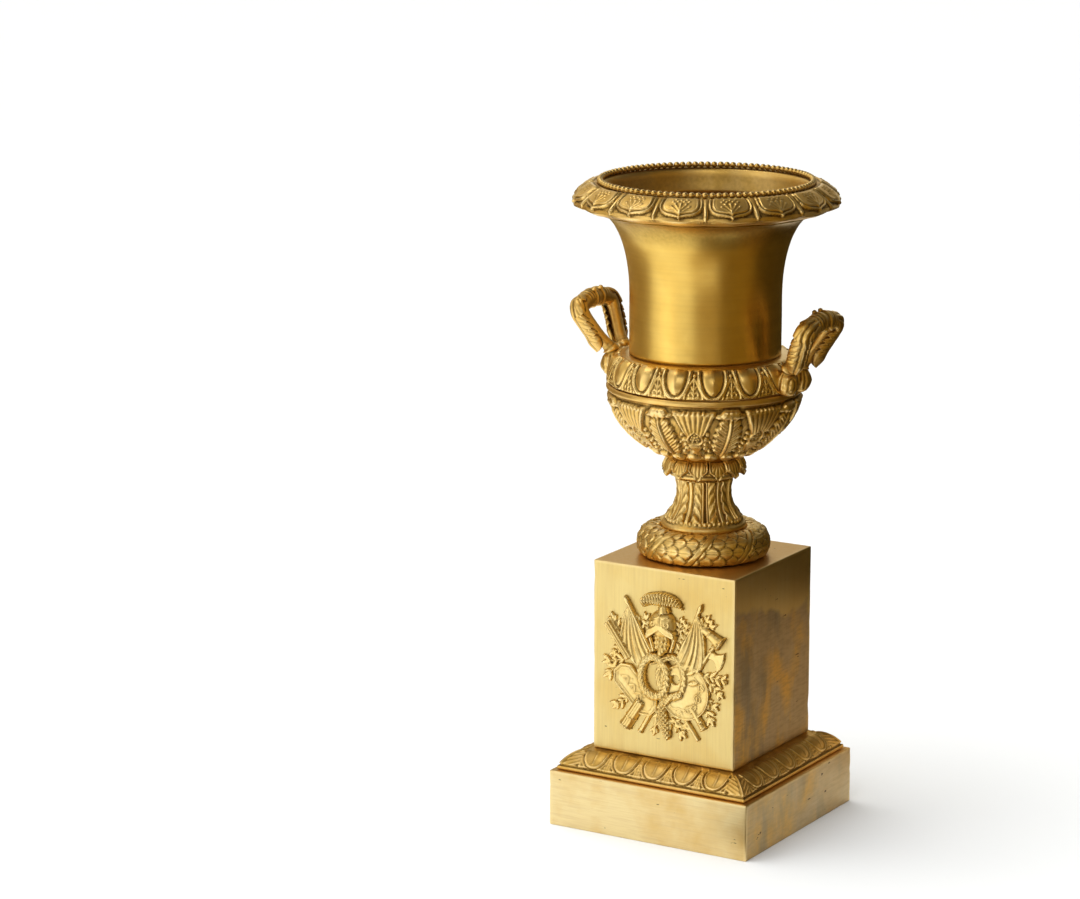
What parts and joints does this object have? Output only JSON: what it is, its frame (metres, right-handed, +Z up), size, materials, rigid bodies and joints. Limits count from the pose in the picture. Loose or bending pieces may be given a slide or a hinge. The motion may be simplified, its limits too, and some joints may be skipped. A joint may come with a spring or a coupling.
{
  "type": "mantel urn",
  "caption": "Flared two-handled gilt-bronze vase with leaf-carved rim, egg-band shoulder and leafy bowl, on a waisted foot and a square plinth with a trophy of arms in relief.",
  "frame": {"origin": "centre of the square slab's underside", "axes": "+Z up through the vase; the handles stand on +X and -X; the trophy of arms faces -Y"},
  "size_m": [0.167, 0.1574, 0.3895],
  "materials": {
    "slab_gilding": "brushed gilding with streaks of tarnish",
    "moulding_gilding": "chased gilding with darker recesses",
    "block_gilding": "matte brushed gilding with brown tarnish on one side",
    "trophy_gilding": "matte gilding with burnished high points",
    "foot_gilding": "chased gilding with darker recesses",
    "collar_gilding": "chased gilding with darker recesses",
    "bowl_gilding": "chased gilding with darker recesses",
    "shoulder_gilding": "chased gilding with burnished eggs",
    "barrel_gilding": "satin gilding brushed round the body",
    "rim_gilding": "chased gilding with burnished leaf edges",
    "bead_gilding": "burnished gilding",
    "handle_gilding": "chased gilding with worn dark patches"
  },
  "bodies": {
    "root": {"base_slab": "slab_gilding", "base_moulding": "moulding_gilding", "pedestal_block": "block_gilding", "trophy_mount": "trophy_gilding", "foot": "foot_gilding", "collar": "collar_gilding", "bowl": "bowl_gilding", "shoulder_ring": "shoulder_gilding", "barrel": "barrel_gilding", "rim": "rim_gilding", "bead_ring": "bead_gilding", "handle_left": "handle_gilding", "handle_right": "handle_gilding"}
  },
  "joints": []
}
